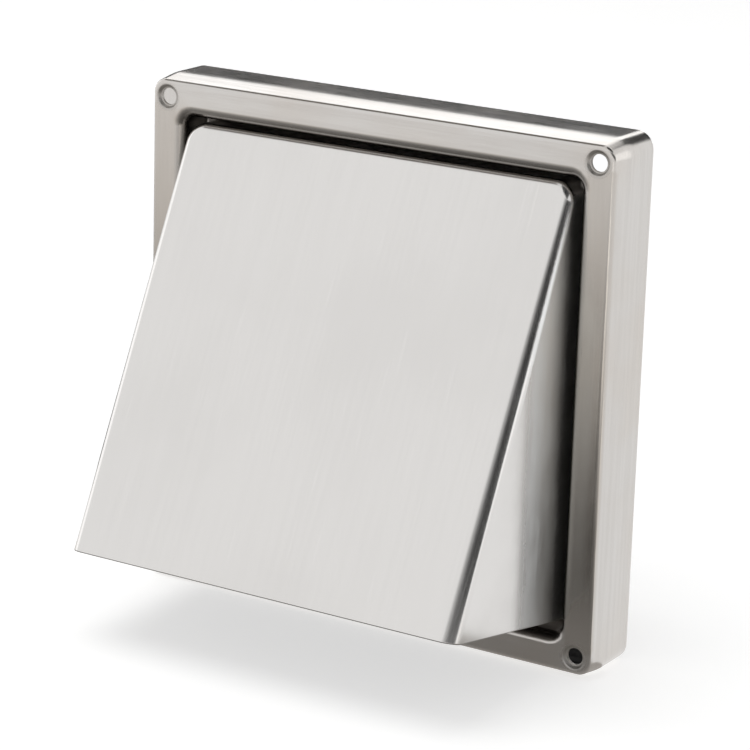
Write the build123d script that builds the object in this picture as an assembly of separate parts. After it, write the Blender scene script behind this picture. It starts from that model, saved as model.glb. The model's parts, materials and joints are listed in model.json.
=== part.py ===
from build123d import *
import os
from math import atan, cos, degrees, sqrt, tan

# Sheet metal
plate_sheet = 0.8
hood_sheet = 0.8
spigot_sheet = 0.6
flap_sheet = 0.5

# Spigot for the duct, which the plate is sized around
spigot_diameter = 97.6
spigot_length = 40.0
spigot_step = 1.0
spigot_fit = 0.05
spigot_seat_height = 1.35
collar_length = 5.0

# Recess pressed into the face plate
spigot_margin = 15.0
recess_corner_radius = 3.0
recess_depth = 12.0
recess_roll_radius = 3.6
recess_bend_radius = 1.0

# Face plate, measured on its outer surface, rear rim in the wall plane y = 0
border_width = 11.2
rim_corner_radius = 5.0
plate_depth = 20.0
shoulder_depth = 8.0
shoulder_lean = 1.1
shoulder_radius = 30.0
fold_radius = 1.2

# Screw holes, each in a pressed dimple
screw_inset = 6.0
screw_hole_diameter = 4.8
dimple_diameter = 6.8
dimple_floor_diameter = 5.6
dimple_depth = 0.9
dimple_edge_radius = 0.6

# Hood, measured on its outer surface
hood_side_gap = 1.5
hood_top_gap = 1.1
hood_lip_height = -49.9
hood_lip_reach = 75.1
hood_face_slope = 0.495
cheek_edge_slope = 0.185
hood_fold_radius = 3.0
hood_corner_radius = 6.0
hood_rear_radius = 1.2
hood_flange_width = 6.5
hood_top_flange_width = 4.5
hood_hem_height = 4.0

# Flap, hinge pin and the lugs lanced out of the recess floor
pin_diameter = 2.0
pin_head_diameter = 3.4
pin_head_length = 1.0
pin_head_gap = 0.2
hinge_rise = 4.7
knuckle_clearance = 0.08
knuckle_floor_gap = 0.32
flap_side_overlap = 1.4
flap_lower_overlap = 2.7
flap_corner_radius = 40.0
flap_lug_gap = 0.6
lug_hole_clearance = 0.03
lug_height = 6.0
lug_tip_margin = 3.0
lug_corner_radius = 2.5
lug_slot_length = 6.0

# Derived sizes and places
spigot_radius = spigot_diameter / 2
neck_radius = spigot_radius - spigot_step
recess_width = spigot_diameter + 2 * spigot_margin
rim_width = recess_width + 2 * border_width
screw_spacing = rim_width - 2 * screw_inset
hood_width = recess_width - 2 * hood_side_gap
hood_top = recess_width / 2 - hood_top_gap
plate_front = -plate_depth
floor_front = plate_front + recess_depth
floor_back = floor_front + plate_sheet
spigot_front = floor_front - spigot_seat_height
collar_back = floor_front + collar_length
pin_radius = pin_diameter / 2
knuckle_inner_radius = pin_radius + knuckle_clearance
knuckle_outer_radius = knuckle_inner_radius + flap_sheet
hinge_height = spigot_radius + hinge_rise
hinge_y = floor_front - knuckle_floor_gap - knuckle_outer_radius
flap_width = 2 * (spigot_radius + flap_side_overlap)
flap_bottom = -spigot_radius - flap_lower_overlap
lug_inner_x = flap_width / 2 + flap_lug_gap
lug_outer_x = lug_inner_x + plate_sheet


def across(y):
    # Sketch plane facing the front, at depth y, with X to the right and Z up
    return Plane.XZ.offset(-y)


def edges_at(part, y, least, most):
    # Edges lying wholly at depth y whose furthest reach from the axes is between two limits
    picked = ShapeList()
    for edge in part.edges():
        box = edge.bounding_box()
        level = abs(box.min.Y - y) < 1e-3 and abs(box.max.Y - y) < 1e-3
        reach = max(abs(box.min.X), abs(box.max.X), abs(box.min.Z), abs(box.max.Z))
        if level and least < reach < most:
            picked.append(edge)
    return picked


def screw_points():
    half = screw_spacing / 2
    return [(sx * half, sz * half) for sx in (-1, 1) for sz in (-1, 1)]


def dimple(inset):
    # Shallow cone around a screw hole, its wall set into the metal by the inset
    wall_angle = atan((dimple_diameter - dimple_floor_diameter) / 2 / dimple_depth)
    grow = inset * (1 / cos(wall_angle) - tan(wall_angle))
    upper = dimple_diameter / 2 + grow
    lower = dimple_floor_diameter / 2 + grow
    return Solid.make_cone(lower, upper, dimple_depth, across(plate_front + inset + dimple_depth))


def pressed_block(inset):
    # Solid bounded by the plate's outer surface, or by the surface set in from it by the inset
    lean_angle = atan(shoulder_lean / shoulder_depth)
    width = rim_width - 2 * inset
    front = plate_front + inset
    shoulder = plate_front + shoulder_depth + inset * tan(lean_angle / 2)
    rim = RectangleRounded(width, width, rim_corner_radius - inset)
    block = extrude(across(0) * rim, amount=-shoulder)
    block += extrude(across(shoulder) * rim, amount=shoulder - front, taper=degrees(lean_angle))
    block = fillet(edges_at(block, shoulder, recess_width / 2, rim_width), shoulder_radius - inset)
    block = fillet(edges_at(block, front, recess_width / 2, rim_width), fold_radius - inset)
    opening = recess_width + 2 * inset
    recess = RectangleRounded(opening, opening, recess_corner_radius + inset)
    block -= extrude(across(front) * recess, amount=-recess_depth)
    reach = opening / 2 + 0.01
    block = fillet(edges_at(block, front, 0, reach), recess_roll_radius - inset)
    block = fillet(edges_at(block, front + recess_depth, 0, reach), recess_bend_radius + inset)
    for x, z in screw_points():
        block -= Pos(x, 0, z) * dimple(inset)
    return block


def lug(side):
    # Tab bent forward beside the flap, with a hole for the pin
    middle_x = side * (lug_inner_x + lug_outer_x) / 2
    tip = hinge_y - lug_tip_margin
    tab = Pos(middle_x, (tip + floor_back) / 2, hinge_height) * Box(plate_sheet, floor_back - tip, lug_height)
    tip_edges = [e for e in tab.edges().filter_by(Axis.X) if e.center().Y < tip + 0.01]
    tab = fillet(tip_edges, lug_corner_radius)
    return tab - hinge_rod(pin_radius + lug_hole_clearance, 4 * plate_sheet, middle_x)


def lug_slot(side):
    # Window left in the floor where the tab was cut free
    middle_x = side * (lug_inner_x - lug_slot_length / 2)
    middle_y = (floor_front + floor_back) / 2
    return Pos(middle_x, middle_y, hinge_height) * Box(lug_slot_length, 4 * plate_sheet, lug_height)


def make_face_plate():
    block = pressed_block(0)
    dimple_reach = screw_spacing / 2 + dimple_diameter / 2
    rims = edges_at(block, plate_front, dimple_reach - 0.01, dimple_reach + 0.01)
    plate = fillet(rims, dimple_edge_radius) - pressed_block(plate_sheet)
    for x, z in screw_points():
        plate -= extrude(across(plate_front) * Pos(x, z) * Circle(screw_hole_diameter / 2),
                         amount=4 * plate_sheet, both=True)
    bore = neck_radius + spigot_fit
    plate += extrude(across(floor_front) * Circle(bore + plate_sheet), amount=-collar_length)
    plate -= extrude(across(floor_front) * Circle(bore), amount=2 * collar_length, both=True)
    for side in (-1, 1):
        plate -= lug_slot(side)
        plate += lug(side)
    return plate


def face_depth(inset, z):
    # Depth of the hood's sloping face at a height, or of the surface set in behind it
    return inset * sqrt(1 + hood_face_slope ** 2) - hood_lip_reach + hood_face_slope * (z - hood_lip_height)


def hood_wedge(inset, drop):
    # Solid inside the hood's outer surface, or set in from it, with its underside lowered by the drop
    top = hood_top - inset
    rear = floor_front - inset
    lip = hood_lip_height - drop
    outline = [(rear, top)]
    outline += [(face_depth(inset, z), z) for z in (top, lip)]
    outline += [(rear, lip - cheek_edge_slope * (floor_front + hood_lip_reach))]
    profile = make_face(Polyline([(0, y, z) for y, z in outline], close=True))
    wedge = extrude(profile, amount=hood_width / 2 - inset, dir=(1, 0, 0), both=True)
    roof = wedge.faces().sort_by(Axis.Z)[-1]
    wedge = fillet(roof.edges().filter_by(Axis.Y), hood_corner_radius - inset)
    face = wedge.faces().sort_by(Axis.Y)[0]
    wedge = fillet(face.edges().sort_by(Axis.Z)[1:], hood_fold_radius - inset)
    rear_face = wedge.faces().sort_by(Axis.Y)[-1]
    rim = [e for e in rear_face.edges() if e.center().Z > lip]
    return fillet(rim, hood_rear_radius - inset)


def lip_hem():
    # Lower edge of the face folded back flat against its inside
    top = hood_lip_height + hood_hem_height
    corners = [(hood_sheet / 2, top), (hood_sheet / 2, hood_lip_height)]
    corners += [(2 * hood_sheet, hood_lip_height), (2 * hood_sheet, top)]
    profile = make_face(Polyline([(0, face_depth(inset, z), z) for inset, z in corners], close=True))
    return extrude(profile, amount=hood_width / 2 - hood_fold_radius, dir=(1, 0, 0), both=True)


def make_hood():
    # Folded cowl, open underneath, its rear edges turned in as a flange on the recess floor
    hood = hood_wedge(0, 0) - hood_wedge(hood_sheet, 20)
    window_top = hood_top - hood_top_flange_width
    window_half = hood_width / 2 - hood_flange_width
    window = Pos(0, floor_front, window_top - hood_width) * Box(2 * window_half, 4 * hood_sheet, 2 * hood_width)
    return hood - window + lip_hem()


def tube(outer_radius, inner_radius, front, back):
    return extrude(across(back) * (Circle(outer_radius) - Circle(inner_radius)), amount=back - front)


def make_spigot():
    # Tube with a narrower neck that goes through the collar, its shoulder against the collar's end
    neck_bore = neck_radius - spigot_sheet
    tube_bore = spigot_radius - spigot_sheet
    shoulder_back = collar_back + spigot_sheet
    spigot = tube(neck_radius, neck_bore, spigot_front, shoulder_back)
    spigot += tube(spigot_radius, neck_bore, collar_back, shoulder_back)
    return spigot + tube(spigot_radius, tube_bore, collar_back, spigot_length)


def hinge_rod(radius, length, middle_x):
    return Pos(middle_x, hinge_y, hinge_height) * Rot(0, 90, 0) * Cylinder(radius, length)


def make_hinge_pin():
    # Wire through both lugs with an upset head outside each
    reach = lug_outer_x + pin_head_gap
    pin = hinge_rod(pin_radius, 2 * (reach + pin_head_length), 0)
    for side in (-1, 1):
        pin += hinge_rod(pin_head_diameter / 2, pin_head_length, side * (reach + pin_head_length / 2))
    return pin


def make_flap():
    # Sheet hanging below the pin, its upper edge rolled round it
    sheet_top = hinge_height - (knuckle_inner_radius + knuckle_outer_radius) / 2
    height = sheet_top - flap_bottom
    sheet = Pos(0, hinge_y, (sheet_top + flap_bottom) / 2) * Box(flap_width, flap_sheet, height)
    corners = [e for e in sheet.edges().filter_by(Axis.Y) if e.center().Z < 0]
    flap = fillet(corners, flap_corner_radius) + hinge_rod(knuckle_outer_radius, flap_width, 0)
    return flap - hinge_rod(knuckle_inner_radius, 2 * flap_width, 0)


os.makedirs("parts", exist_ok=True)
export_step(make_face_plate(), "parts/face_plate.step")
export_step(make_hood(), "parts/hood.step")
export_step(make_spigot(), "parts/spigot.step")
export_step(make_hinge_pin(), "parts/hinge_pin.step")
export_step(make_flap(), "parts/flap.step")
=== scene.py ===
import bmesh
import bpy
import json
from math import cos, radians, sin
from mathutils import Matrix, Quaternion, Vector

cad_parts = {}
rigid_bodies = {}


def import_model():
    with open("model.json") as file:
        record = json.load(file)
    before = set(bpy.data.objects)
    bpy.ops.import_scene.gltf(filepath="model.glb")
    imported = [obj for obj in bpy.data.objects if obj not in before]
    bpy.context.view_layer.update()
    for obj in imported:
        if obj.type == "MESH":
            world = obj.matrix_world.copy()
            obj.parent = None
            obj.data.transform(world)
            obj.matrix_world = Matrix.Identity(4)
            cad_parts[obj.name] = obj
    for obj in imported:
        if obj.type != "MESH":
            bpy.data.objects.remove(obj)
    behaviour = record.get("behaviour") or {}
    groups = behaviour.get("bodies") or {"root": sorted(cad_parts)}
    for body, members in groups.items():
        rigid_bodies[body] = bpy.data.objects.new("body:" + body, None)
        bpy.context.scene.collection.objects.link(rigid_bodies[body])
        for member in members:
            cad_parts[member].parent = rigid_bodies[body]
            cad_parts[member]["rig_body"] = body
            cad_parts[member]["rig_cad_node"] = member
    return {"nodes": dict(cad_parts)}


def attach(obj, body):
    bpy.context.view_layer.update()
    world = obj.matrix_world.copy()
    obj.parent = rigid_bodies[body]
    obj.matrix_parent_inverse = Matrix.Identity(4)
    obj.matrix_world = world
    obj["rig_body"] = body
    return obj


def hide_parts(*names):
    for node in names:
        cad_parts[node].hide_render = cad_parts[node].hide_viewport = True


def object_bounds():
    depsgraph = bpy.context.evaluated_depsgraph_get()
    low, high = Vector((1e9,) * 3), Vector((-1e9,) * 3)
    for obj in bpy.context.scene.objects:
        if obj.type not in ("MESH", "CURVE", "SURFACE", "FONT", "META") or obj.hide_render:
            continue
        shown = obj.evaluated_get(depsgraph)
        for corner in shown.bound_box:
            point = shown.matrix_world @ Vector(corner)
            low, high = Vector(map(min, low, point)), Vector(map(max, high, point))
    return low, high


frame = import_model()
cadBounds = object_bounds()
scene = bpy.context.scene
print("frame loaded, nodes:", len(frame["nodes"]))


def deselectAll():
    if bpy.context.object and bpy.context.object.mode != "OBJECT":
        bpy.ops.object.mode_set(mode="OBJECT")
    bpy.ops.object.select_all(action="DESELECT")


def makeActive(piece):
    deselectAll()
    piece.select_set(True)
    bpy.context.view_layer.objects.active = piece


def applyModifier(piece, kind, **settings):
    makeActive(piece)
    modifier = piece.modifiers.new(kind.lower(), kind)
    for key, value in settings.items():
        setattr(modifier, key, value)
    bpy.ops.object.modifier_apply(modifier=modifier.name)


# small helpers for wiring nodes

def addNode(tree, kind, **settings):
    node = tree.nodes.new(kind)
    for key, value in settings.items():
        setattr(node, key, value)
    return node


def feed(tree, socket, value):
    if hasattr(value, "is_output"):
        tree.links.new(value, socket)
    else:
        socket.default_value = value


def mixColour(tree, factor, first, second):
    node = addNode(tree, "ShaderNodeMix", data_type="RGBA")
    for index, value in ((0, factor), (6, first), (7, second)):  # the node's colour sockets
        feed(tree, node.inputs[index], value)
    return node.outputs[2]


def mathStep(tree, first, second, operation="ADD", clamp=False):
    node = addNode(tree, "ShaderNodeMath", operation=operation, use_clamp=clamp)
    feed(tree, node.inputs[0], first)
    feed(tree, node.inputs[1], second)
    return node.outputs[0]


def remap(tree, value, lowIn, highIn, lowOut, highOut, smooth=False):
    node = addNode(tree, "ShaderNodeMapRange", interpolation_type="SMOOTHSTEP" if smooth else "LINEAR")
    feed(tree, node.inputs[0], value)
    for index, number in enumerate((lowIn, highIn, lowOut, highOut), start=1):
        node.inputs[index].default_value = number
    return node.outputs[0]


def stretchedNoise(tree, place, stretch, size, detail, roughness, turn=(0, 0, 0)):
    mapping = addNode(tree, "ShaderNodeMapping")
    mapping.inputs["Rotation"].default_value = turn
    mapping.inputs["Scale"].default_value = stretch
    tree.links.new(place, mapping.inputs["Vector"])
    noise = addNode(tree, "ShaderNodeTexNoise")
    noise.inputs["Scale"].default_value = size
    noise.inputs["Detail"].default_value = detail
    noise.inputs["Roughness"].default_value = roughness
    tree.links.new(mapping.outputs[0], noise.inputs["Vector"])
    return noise.outputs[0]


def vectorStep(tree, operation, first, second=None):
    node = addNode(tree, "ShaderNodeVectorMath", operation=operation)
    feed(tree, node.inputs[0], first)
    if second:
        node.inputs[1].default_value = second
    return node.outputs["Value" if operation == "LENGTH" else "Vector"]


def splitAxes(tree, vector):
    node = addNode(tree, "ShaderNodeSeparateXYZ")
    tree.links.new(vector, node.inputs[0])
    return node.outputs


def zoneMask(tree, place, zone):
    # 1 inside a rounded box, fading to 0 over the box's soft width
    if zone.get("fourfold"):  # the same box in all four corners of the front
        place = vectorStep(tree, "ABSOLUTE", place)
    inner = vectorStep(tree, "ABSOLUTE", vectorStep(tree, "SUBTRACT", place, zone["middle"]))
    outside = vectorStep(tree, "MAXIMUM", vectorStep(tree, "SUBTRACT", inner, zone["half"]), (0, 0, 0))
    distance = vectorStep(tree, "LENGTH", outside)
    mask = remap(tree, distance, zone["solid"], zone["solid"] + zone["soft"], 1.0, 0.0, True)
    if "sideFrom" in zone:  # only on the left and right sides
        reach = splitAxes(tree, vectorStep(tree, "ABSOLUTE", place))
        side = remap(tree, reach["X"], zone["sideFrom"], zone["sideFull"], 0, 1)
        mask = mathStep(tree, mask, side, "MULTIPLY")
    return mask


def mitredPlace(tree, place):
    # swaps X and Z on the upright sides so that the grain follows the border round
    axes = splitAxes(tree, place)
    reach = splitAxes(tree, vectorStep(tree, "ABSOLUTE", place))
    swapped = addNode(tree, "ShaderNodeCombineXYZ")
    for source, target in (("Z", "X"), ("Y", "Y"), ("X", "Z")):
        tree.links.new(axes[source], swapped.inputs[target])
    upright = mathStep(tree, reach["X"], reach["Z"], "GREATER_THAN")
    return mixColour(tree, upright, place, swapped.outputs[0])


# shared by every steel finish: where each noise takes hold, and how strongly
steelLook = {"grainDetail": (5.0, 0.7), "streakDetail": (3.0, 0.55), "stainDetail": (3.0, 0.55),
             "scratchDetail": (2.0, 0.5), "marksDetail": (4.0, 0.6), "streakScale": 0.3, "marksSize": 40.0,
             "grainBand": (0.3, 0.7), "streakBand": (0.40, 0.65), "stainBand": (0.40, 0.70), "driftBand": (0.3, 0.7),
             "scratchBand": (0.66, 0.72), "marksBand": (0.42, 0.6), "marksLow": 0.72, "scratchRough": 0.12,
             "scratchDepth": 0.6, "reliefHeight": 0.00001, "edgeStreak": 0.15, "edgeGloss": 0.06}


def brushedSteel(finish):
    # fine grain in gloss and relief, broad streaks and stains in the tone, a few handling scratches, and zones of
    # painted shade and painted highlight mixed into the tone
    look = steelLook
    material = bpy.data.materials.new(finish["name"])
    material.use_nodes = True
    tree = material.node_tree
    shader = tree.nodes["Principled BSDF"]
    shader.inputs["Metallic"].default_value = 1.0
    place = addNode(tree, "ShaderNodeTexCoord").outputs["Object"]
    along = mitredPlace(tree, place) if finish.get("mitred") else place
    grain = stretchedNoise(tree, along, finish["grainStretch"], finish["grainSize"], *look["grainDetail"])
    streakSize = finish["grainSize"] * look["streakScale"]
    streak = stretchedNoise(tree, along, finish["grainStretch"], streakSize, *look["streakDetail"])
    stain = stretchedNoise(tree, place, (1, 1, 1), finish["stainSize"], *look["stainDetail"])
    scratch = stretchedNoise(tree, place, finish["scratchStretch"], finish["scratchSize"], *look["scratchDetail"],
                             finish["scratchTurn"])

    scratchMask = remap(tree, scratch, *look["scratchBand"], 0.0, finish["scratchMix"])
    stainMask = remap(tree, stain, *look["stainBand"], 0.0, 1.0, True)
    streakMask = remap(tree, streak, *look["streakBand"], 0.0, finish["streakMix"], True)
    tone = mixColour(tree, stainMask, finish["tone"], finish["stainTone"])
    tone = mixColour(tree, streakMask, tone, finish["streakTone"])
    tone = mixColour(tree, scratchMask, tone, finish["scratchTone"])
    gloss = remap(tree, grain, *look["grainBand"], finish["roughLow"], finish["roughHigh"])
    # each zone mixes in its painted shade or painted highlight tone and its gloss
    for zone in finish.get("zones", ()):
        mask = mathStep(tree, zoneMask(tree, place, zone), zone["mix"], "MULTIPLY")
        if "marks" in zone:
            marks = stretchedNoise(tree, place, zone["marks"], look["marksSize"], *look["marksDetail"],
                                   zone["marksTurn"])
            mask = mathStep(tree, mask, remap(tree, marks, *look["marksBand"], look["marksLow"], 1.0), "MULTIPLY")
        tone = mixColour(tree, mask, tone, zone["tone"])
        gloss = mathStep(tree, gloss, mathStep(tree, mask, zone["rough"], "MULTIPLY"))
    tree.links.new(tone, shader.inputs["Base Color"])

    drift = remap(tree, stain, *look["driftBand"], -finish["roughDrift"], finish["roughDrift"])
    gloss = mathStep(tree, mathStep(tree, gloss, drift), mathStep(tree, scratchMask, look["scratchRough"], "MULTIPLY"))
    tree.links.new(gloss, shader.inputs["Roughness"])
    bump = addNode(tree, "ShaderNodeBump")
    bump.inputs["Strength"].default_value = finish["bump"]
    bump.inputs["Distance"].default_value = look["reliefHeight"]
    height = mathStep(tree, grain, mathStep(tree, scratchMask, look["scratchDepth"], "MULTIPLY"), "SUBTRACT")
    tree.links.new(height, bump.inputs["Height"])
    tree.links.new(bump.outputs[0], shader.inputs["Normal"])
    return material


def edgeBurnishAndHighlight(finish):
    # burnished strip where the sheet was cut and the handling rubs, glossier there; its lighter tone is a painted
    # highlight along the edges
    edge = dict(finish, name=finish["name"] + "Edge", tone=finish["edgeHighlightTone"], stainTone=finish["tone"],
                streakMix=steelLook["edgeStreak"], roughLow=finish["roughLow"] - steelLook["edgeGloss"],
                roughHigh=finish["roughHigh"] - steelLook["edgeGloss"])
    return brushedSteel(edge)


# how every packed sheet is merged, eased and smoothed
sheetWork = {"mergeGap": 0.000002, "easeAngle": 50, "easeSegments": 2, "smoothAngle": 40, "normalWeight": 50}


def takeSheet(build):
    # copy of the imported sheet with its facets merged
    makeActive(frame["nodes"][build["node"]])
    bpy.ops.object.duplicate()
    piece = bpy.context.object
    piece.name = build["name"]
    piece.parent = None
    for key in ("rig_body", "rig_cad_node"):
        del piece[key]
    piece.data.materials.clear()
    bpy.ops.object.mode_set(mode="EDIT")
    bpy.ops.mesh.select_all(action="SELECT")
    bpy.ops.mesh.remove_doubles(threshold=sheetWork["mergeGap"])
    bpy.ops.mesh.normals_make_consistent(inside=False)
    bpy.ops.object.mode_set(mode="OBJECT")
    bpy.ops.mesh.customdata_custom_splitnormals_clear()
    piece.data.materials.append(brushedSteel(build["finish"]))
    piece.data.materials.append(edgeBurnishAndHighlight(build["finish"]))
    return piece


def finishSheet(piece, build):
    applyModifier(piece, "BEVEL", width=build["edgeEase"], segments=sheetWork["easeSegments"], limit_method="ANGLE",
                  angle_limit=radians(sheetWork["easeAngle"]), use_clamp_overlap=True, material=1)
    makeActive(piece)
    bpy.ops.object.shade_smooth_by_angle(angle=radians(sheetWork["smoothAngle"]))
    applyModifier(piece, "WEIGHTED_NORMAL", keep_sharp=True, weight=sheetWork["normalWeight"])
    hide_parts(build["node"])
    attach(piece, build["body"])
    print(build["name"], "done, faces:", len(piece.data.polygons))


# painted shade down the roll into the recess, and a lighter painted shade on the recess floor
recessRollShade = {"middle": (0, -0.020, 0), "half": (0.0608, 0.002, 0.0608), "solid": 0.0032, "soft": 0.0028,
              "mix": 1.0, "tone": (0.17, 0.155, 0.14, 1), "rough": 0.05}
recessFloorShade = {"middle": (0, -0.010, 0), "half": (0.0600, 0.003, 0.0600), "solid": 0.004, "soft": 0.002,
               "mix": 0.5, "tone": (0.30, 0.285, 0.27, 1), "rough": 0.25}
# painted shade: the upright sides of the border are painted browner and darker, and the inside of the lower skirt is
# painted near black
uprightBorderShade = {"middle": (0.0715, 0.0205, 0), "half": (0.004, 0.0005, 0.066), "solid": 0.0008, "soft": 0.0015,
                 "fourfold": True, "mix": 0.6, "tone": (0.50, 0.465, 0.425, 1), "rough": 0.0}
lowerInsideShade = {"middle": (0, -0.006, -0.0736), "half": (0.068, 0.006, 0.0003), "solid": 0.0004, "soft": 0.0004,
               "mix": 0.95, "tone": (0.03, 0.028, 0.026, 1), "rough": -0.12}
# press marks dull the gloss round the screw holes; the darker tone there is painted shade of the dished slopes
dimpleShadeAndPressMarks = {"middle": (0.069, 0.0195, 0.069), "half": (0, 0, 0), "solid": 0.0030, "soft": 0.0014, "fourfold": True,
              "mix": 0.8, "tone": (0.44, 0.42, 0.395, 1), "rough": 0.30}
facePlate = {"node": "face_plate", "name": "facePlate", "body": "frame", "slot": "plate_steel", "edgeEase": 0.00012,
             "finish": {"name": "plateBrushed", "tone": (0.625, 0.605, 0.585, 1), "stainTone": (0.60, 0.565, 0.53, 1),
                        "streakTone": (0.53, 0.505, 0.48, 1), "streakMix": 0.25, "edgeHighlightTone": (0.72, 0.71, 0.70, 1),
                        "grainStretch": (1.0, 30.0, 30.0), "grainSize": 70.0, "stainSize": 24.0,
                        "scratchStretch": (3.0, 60.0, 60.0), "scratchSize": 16.0, "scratchTurn": (0, 0.15, 0),
                        "scratchMix": 0.2, "scratchTone": (0.70, 0.68, 0.66, 1),
                        "roughLow": 0.15, "roughHigh": 0.26, "roughDrift": 0.03, "bump": 0.10,
                        "zones": [recessRollShade, recessFloorShade, uprightBorderShade, dimpleShadeAndPressMarks, lowerInsideShade], "mitred": True}}
plate = takeSheet(facePlate)
finishSheet(plate, facePlate)

# painted highlight: the rear of both cheeks is painted lighter and bluer as a reflection, broken up by handling scuff
# marks
cheekSheenAndScuffs = {"middle": (0, -0.022, 0), "half": (0.07, 0.0095, 0.08), "solid": 0.003, "soft": 0.008,
                "sideFrom": 0.0615, "sideFull": 0.0621, "mix": 0.9, "tone": (0.735, 0.75, 0.75, 1), "rough": 0.24,
                "marks": (1, 40, 2.5), "marksTurn": (0.5, 0, 0)}
hoodCowl = {"node": "hood", "name": "hoodCowl", "body": "frame", "slot": "hood_steel", "edgeEase": 0.00015,
            "faceSlope": 0.495, "foldRadius": 0.003, "lipFold": 0.0046, "foldTop": 0.05, "foldSlack": 0.00001,
            "lipRound": 0.00045, "lipSegments": 3, "lipCentre": -0.035, "lipTop": -0.045,
            "lipUnder": -0.95, "lipSide": -0.5,  # how far a face of the lip looks down
            "finish": {"name": "hoodBrushed", "tone": (0.715, 0.70, 0.685, 1), "stainTone": (0.69, 0.675, 0.66, 1),
                       "streakTone": (0.66, 0.645, 0.63, 1), "streakMix": 0.15, "edgeHighlightTone": (0.78, 0.77, 0.76, 1),
                       "grainStretch": (30.0, 1.0, 1.0), "grainSize": 70.0, "stainSize": 16.0,
                       "scratchStretch": (60.0, 3.0, 3.0), "scratchSize": 14.0, "scratchTurn": (0, 0, 0.12),
                       "scratchMix": 0.25, "scratchTone": (0.76, 0.745, 0.73, 1),
                       "roughLow": 0.15, "roughHigh": 0.23, "roughDrift": 0.02, "bump": 0.08,
                       "zones": [cheekSheenAndScuffs]}}


def widenFolds(piece, build):
    # both side folds open out from the roof down to the lip, the sheet keeping its thickness
    half = max(v.co.x for v in piece.data.vertices)
    tip = min((v.co for v in piece.data.vertices), key=lambda co: co.y).copy()
    inward = Vector((0, 1, -build["faceSlope"])).normalized()
    fold, top = build["foldRadius"], build["foldTop"]
    for vertex in piece.data.vertices:
        co = vertex.co
        depth = (co - tip).dot(inward)  # in from the face
        inset = half - abs(co.x)  # in from the cheek
        if co.z > top or max(depth, inset) > fold + build["foldSlack"]:
            continue
        wide = fold + (build["lipFold"] - fold) * (top - co.z) / (top - tip.z)
        arm = Vector((depth - fold, inset - fold))
        arm = arm.normalized() * (arm.length + wide - fold) + Vector((wide, wide))
        vertex.co = co + inward * (arm.x - depth)
        vertex.co.x = (half - arm.y) * (1 if co.x > 0 else -1)


def roundLip(piece, build):
    # the turn of the hem along the lower edge of the face and of both cheeks
    makeActive(piece)
    bpy.ops.object.mode_set(mode="EDIT")
    bpy.ops.mesh.select_mode(type="EDGE")
    bpy.ops.mesh.select_all(action="DESELECT")
    sheet = bmesh.from_edit_mesh(piece.data)
    for edge in sheet.edges:
        middle = (edge.verts[0].co + edge.verts[1].co) / 2
        outward = Vector((middle.x, middle.y - build["lipCentre"], 0))
        normals = [face.normal for face in edge.link_faces]
        under = any(normal.z < build["lipUnder"] for normal in normals)
        outside = any(normal.z > build["lipSide"] and normal.dot(outward) > 0 for normal in normals)
        if under and outside and middle.z < build["lipTop"]:
            edge.select_set(True)
    bmesh.update_edit_mesh(piece.data)
    bpy.ops.mesh.bevel(offset=build["lipRound"], segments=build["lipSegments"], affect="EDGES", clamp_overlap=True)
    bpy.ops.object.mode_set(mode="OBJECT")


hood = takeSheet(hoodCowl)
widenFolds(hood, hoodCowl)
roundLip(hood, hoodCowl)
finishSheet(hood, hoodCowl)

ductSpigot = {"node": "spigot", "name": "ductSpigot", "body": "frame", "slot": "tube_steel", "edgeEase": 0.0001,
              "finish": {"name": "tubeRolled", "tone": (0.64, 0.635, 0.63, 1), "stainTone": (0.60, 0.59, 0.575, 1),
                         "streakTone": (0.54, 0.53, 0.515, 1), "streakMix": 0.4, "edgeHighlightTone": (0.72, 0.715, 0.71, 1),
                         "grainStretch": (1.0, 30.0, 1.0), "grainSize": 60.0, "stainSize": 28.0,
                         "scratchStretch": (60.0, 3.0, 60.0), "scratchSize": 14.0, "scratchTurn": (0.1, 0, 0),
                         "scratchMix": 0.35, "scratchTone": (0.70, 0.695, 0.69, 1),
                         "roughLow": 0.25, "roughHigh": 0.38, "roughDrift": 0.04, "bump": 0.10}}
spigot = takeSheet(ductSpigot)
finishSheet(spigot, ductSpigot)

draughtFlap = {"node": "flap", "name": "draughtFlap", "body": "shutter", "slot": "flap_steel", "edgeEase": 0.0001,
               "finish": {"name": "flapSheet", "tone": (0.63, 0.625, 0.62, 1), "stainTone": (0.59, 0.58, 0.565, 1),
                          "streakTone": (0.53, 0.52, 0.505, 1), "streakMix": 0.4, "edgeHighlightTone": (0.71, 0.705, 0.70, 1),
                          "grainStretch": (1.0, 30.0, 30.0), "grainSize": 60.0, "stainSize": 22.0,
                          "scratchStretch": (3.0, 60.0, 60.0), "scratchSize": 14.0, "scratchTurn": (0, 0.2, 0),
                          "scratchMix": 0.4, "scratchTone": (0.70, 0.69, 0.68, 1),
                          "roughLow": 0.28, "roughHigh": 0.40, "roughDrift": 0.05, "bump": 0.12}}
flap = takeSheet(draughtFlap)
finishSheet(flap, draughtFlap)

hingePin = {"node": "hinge_pin", "name": "hingePin", "body": "frame", "slot": "pin_steel", "edgeEase": 0.0002,
            "finish": {"name": "pinWire", "tone": (0.58, 0.57, 0.56, 1), "stainTone": (0.52, 0.505, 0.485, 1),
                       "streakTone": (0.45, 0.44, 0.425, 1), "streakMix": 0.5, "edgeHighlightTone": (0.68, 0.67, 0.66, 1),
                       "grainStretch": (1.0, 14.0, 14.0), "grainSize": 90.0, "stainSize": 60.0,
                       "scratchStretch": (3.0, 60.0, 60.0), "scratchSize": 20.0, "scratchTurn": (0, 0, 0),
                       "scratchMix": 0.4, "scratchTone": (0.66, 0.65, 0.64, 1),
                       "roughLow": 0.22, "roughHigh": 0.38, "roughDrift": 0.04, "bump": 0.12}}
pin = takeSheet(hingePin)
finishSheet(pin, hingePin)


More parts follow.
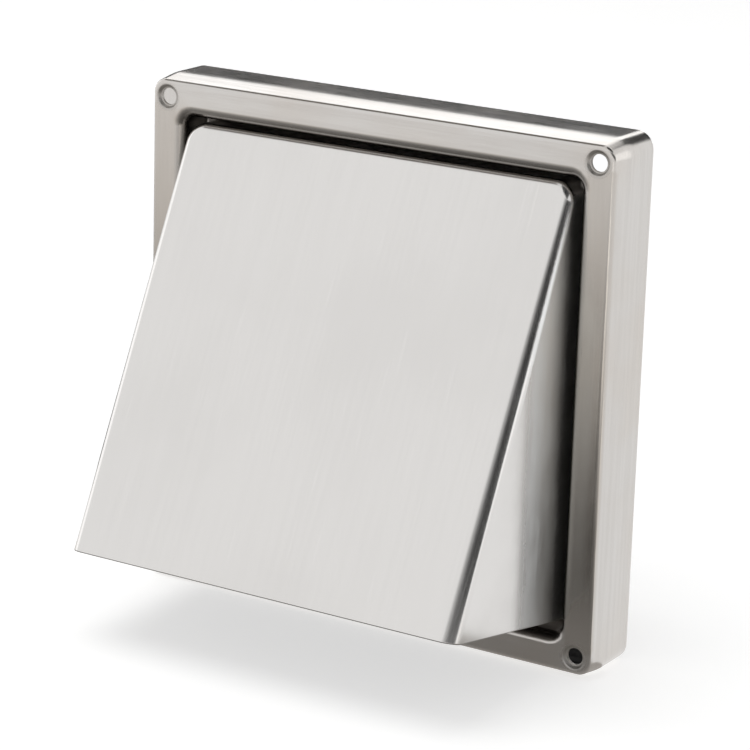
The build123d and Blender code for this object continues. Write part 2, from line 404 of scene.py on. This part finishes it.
# floor, world, lamp and the cards that the metal mirrors

studio = {"floorSize": 8.0, "floorDrop": 0.0003, "floorTone": (0.80, 0.80, 0.795, 1), "floorGlow": 0.62,
          "floorRough": 0.9, "floorSheen": 0.1, "skyForFloor": 0.30,
          "lampPlace": (-0.5, -0.2, 1.7), "lampSize": 1.6, "lampPower": 11.0}


def makeWorld():
    world = bpy.data.worlds.new("studioSky")
    scene.world = world
    world.use_nodes = True
    tree = world.node_tree
    background = tree.nodes["Background"]
    background.inputs["Color"].default_value = (1, 1, 1, 1)
    path = addNode(tree, "ShaderNodeLightPath")
    seen = mathStep(tree, path.outputs["Is Camera Ray"], path.outputs["Is Glossy Ray"], clamp=True)
    seen = mathStep(tree, seen, path.outputs["Is Transmission Ray"], clamp=True)
    tree.links.new(remap(tree, seen, 0.0, 1.0, studio["skyForFloor"], 1.0), background.inputs["Strength"])


def makeFloor():
    deselectAll()
    low = cadBounds[0][2] - studio["floorDrop"]
    bpy.ops.mesh.primitive_plane_add(size=studio["floorSize"], location=(0, 0, low))
    floor = bpy.context.object
    floor.name = "studioFloor"
    material = bpy.data.materials.new("paleFloor")
    material.use_nodes = True
    tree = material.node_tree
    shader = tree.nodes["Principled BSDF"]
    shader.inputs["Base Color"].default_value = studio["floorTone"]
    shader.inputs["Roughness"].default_value = studio["floorRough"]
    shader.inputs["Specular IOR Level"].default_value = studio["floorSheen"]
    shader.inputs["Emission Color"].default_value = (1, 1, 1, 1)
    path = addNode(tree, "ShaderNodeLightPath")
    glow = remap(tree, path.outputs["Is Camera Ray"], 0, 1, 0, studio["floorGlow"])
    tree.links.new(glow, shader.inputs["Emission Strength"])
    white = addNode(tree, "ShaderNodeEmission")
    mirrored = mathStep(tree, path.outputs["Is Glossy Ray"], path.outputs["Is Transmission Ray"], clamp=True)
    mix = addNode(tree, "ShaderNodeMixShader")
    tree.links.new(mirrored, mix.inputs[0])
    tree.links.new(shader.outputs[0], mix.inputs[1])
    tree.links.new(white.outputs[0], mix.inputs[2])
    below = addNode(tree, "ShaderNodeMixShader")  # nothing hides the part from underneath
    tree.links.new(addNode(tree, "ShaderNodeNewGeometry").outputs["Backfacing"], below.inputs[0])
    tree.links.new(mix.outputs[0], below.inputs[1])
    tree.links.new(addNode(tree, "ShaderNodeBsdfTransparent").outputs[0], below.inputs[2])
    tree.links.new(below.outputs[0], tree.nodes["Material Output"].inputs["Surface"])
    floor.data.materials.append(material)


def makeCard(name, centre, size, tone, aim=None, tilt=0):
    # plain card that only shows in the metal, lying flat where it has no aim
    deselectAll()
    facing = (Vector(aim) - Vector(centre)).to_track_quat("Z", "Y") if aim else Quaternion()
    turn = (facing @ Quaternion((0, 0, 1), radians(tilt))).to_euler()
    bpy.ops.mesh.primitive_plane_add(size=1, location=centre, rotation=turn)
    card = bpy.context.object
    card.name = name
    card.scale = (size[0], size[1], 1)
    card.visible_camera = False
    card.visible_diffuse = False
    card.visible_shadow = False
    material = bpy.data.materials.new(name + "Tone")
    material.use_nodes = True
    tree = material.node_tree
    tree.nodes.clear()
    emission = addNode(tree, "ShaderNodeEmission")
    emission.inputs["Color"].default_value = tone if isinstance(tone, tuple) else (tone, tone, tone, 1)
    output = addNode(tree, "ShaderNodeOutputMaterial")
    tree.links.new(emission.outputs[0], output.inputs["Surface"])
    card.data.materials.append(material)
    return card


def fadeCard(card, *fades, blend="MULTIPLY"):
    # each fade runs along one of the card's own axes
    tree = card.data.materials[0].node_tree
    axes = splitAxes(tree, addNode(tree, "ShaderNodeTexCoord").outputs["Object"])
    strength = None
    for axis, start, end, startTone, endTone in fades:
        fade = remap(tree, axes[axis], start, end, startTone, endTone, True)
        strength = mathStep(tree, strength, fade, blend) if strength else fade
    emission = next(node for node in tree.nodes if node.type == "EMISSION")
    tree.links.new(strength, emission.inputs["Strength"])


def makeLamp():
    deselectAll()
    place = Vector(studio["lampPlace"])
    bpy.ops.object.light_add(type="AREA", location=place, rotation=(-place).to_track_quat("-Z", "Y").to_euler())
    lamp = bpy.context.object
    lamp.name = "softLamp"
    lamp.data.shape = "DISK"
    lamp.data.size = studio["lampSize"]
    lamp.data.energy = studio["lampPower"]
    lamp.visible_glossy = False


makeWorld()
makeFloor()
makeLamp()
cameraCard = makeCard("darkCardCamera", centre=(0.877, -0.795, 0.59), size=(2.8, 0.78), tone=1.0,
                      aim=(0.017, 0.045, 0.43), tilt=19)
fadeCard(cameraCard, ("X", 0.46, -0.06, 1.0, 0.04), ("Y", -0.5, -0.28, 1.0, 0.04), ("Y", 0.5, 0.28, 1.0, 0.04),
         blend="MAXIMUM")
makeCard("darkCardBack", centre=(-0.60, 1.00, 0.185), size=(1.1, 0.57), tone=0.02, aim=(0, 0, 0.05))
makeCard("brightCardBack", centre=(-0.60, 0.95, 0.75), size=(1.0, 0.5), tone=1.7, aim=(0, 0, 0.05))
makeCard("darkCardBackHigh", centre=(0.18, 1.00, 0.64), size=(0.55, 0.5), tone=0.04, aim=(0, 0, 0.05))
makeCard("darkCardTop", centre=(-0.52, 0.02, 0.95), size=(0.5, 0.9), tone=(0.16, 0.145, 0.13, 1))
makeCard("darkCardLow", centre=(-0.36, 0.26, -0.0745), size=(0.4, 0.4), tone=0.15)
makeCard("brightCardLeft", centre=(-1.1, -0.10, 0.15), size=(0.5, 0.9), tone=1.4, aim=(0, 0, 0))
makeCard("brightCardRight", centre=(0.96, 0.46, 0.05), size=(0.85, 0.9), tone=1.4, aim=(0, 0, 0))
makeCard("darkCardTopRight", centre=(0.45, -0.25, 0.95), size=(0.9, 0.9), tone=0.05)
lowCard = makeCard("greyCardLow", centre=(-0.01, -0.26, -0.0745), size=(0.78, 0.5), tone=(1.0, 0.965, 0.92, 1))
fadeCard(lowCard, ("Y", 0.32, -0.42, 0.27, 0.96), ("X", -0.37, 0.09, 1.0, 0.5), ("X", 0.16, 0.4, 1.0, 4.5),
         ("Y", 0.3, 0.44, 1.0, 1.8), ("Y", 0.47, 0.49, 1.0, 2.0))
print("studio ready")

# camera at the photograph's angle
view = {"lens": 148.96, "sensor": 36.0, "nearest": 0.01, "yaw": 31.5142, "pitch": 16.2576, "roll": 1.7212,
        "target": (-0.009577, 0.0, -0.007203), "distance": 0.887437}


def makeCamera():
    deselectAll()
    yaw, pitch, roll = (radians(view[key]) for key in ("yaw", "pitch", "roll"))
    back = Vector((sin(yaw) * cos(pitch), -cos(yaw) * cos(pitch), sin(pitch)))
    right = (-back).cross(Vector((0, 0, 1))).normalized()
    up = right.cross(-back)
    across = right * cos(roll) + up * sin(roll)
    upright = up * cos(roll) - right * sin(roll)
    bpy.ops.object.camera_add()
    camera = bpy.context.object
    turn = Matrix((across, upright, back)).transposed().to_4x4()
    camera.matrix_world = Matrix.Translation(Vector(view["target"]) + back * view["distance"]) @ turn
    camera.data.lens = view["lens"]
    camera.data.sensor_width = view["sensor"]
    camera.data.clip_start = view["nearest"]
    scene.camera = camera


makeCamera()
scene.view_settings.view_transform = "Standard"
print("camera set")
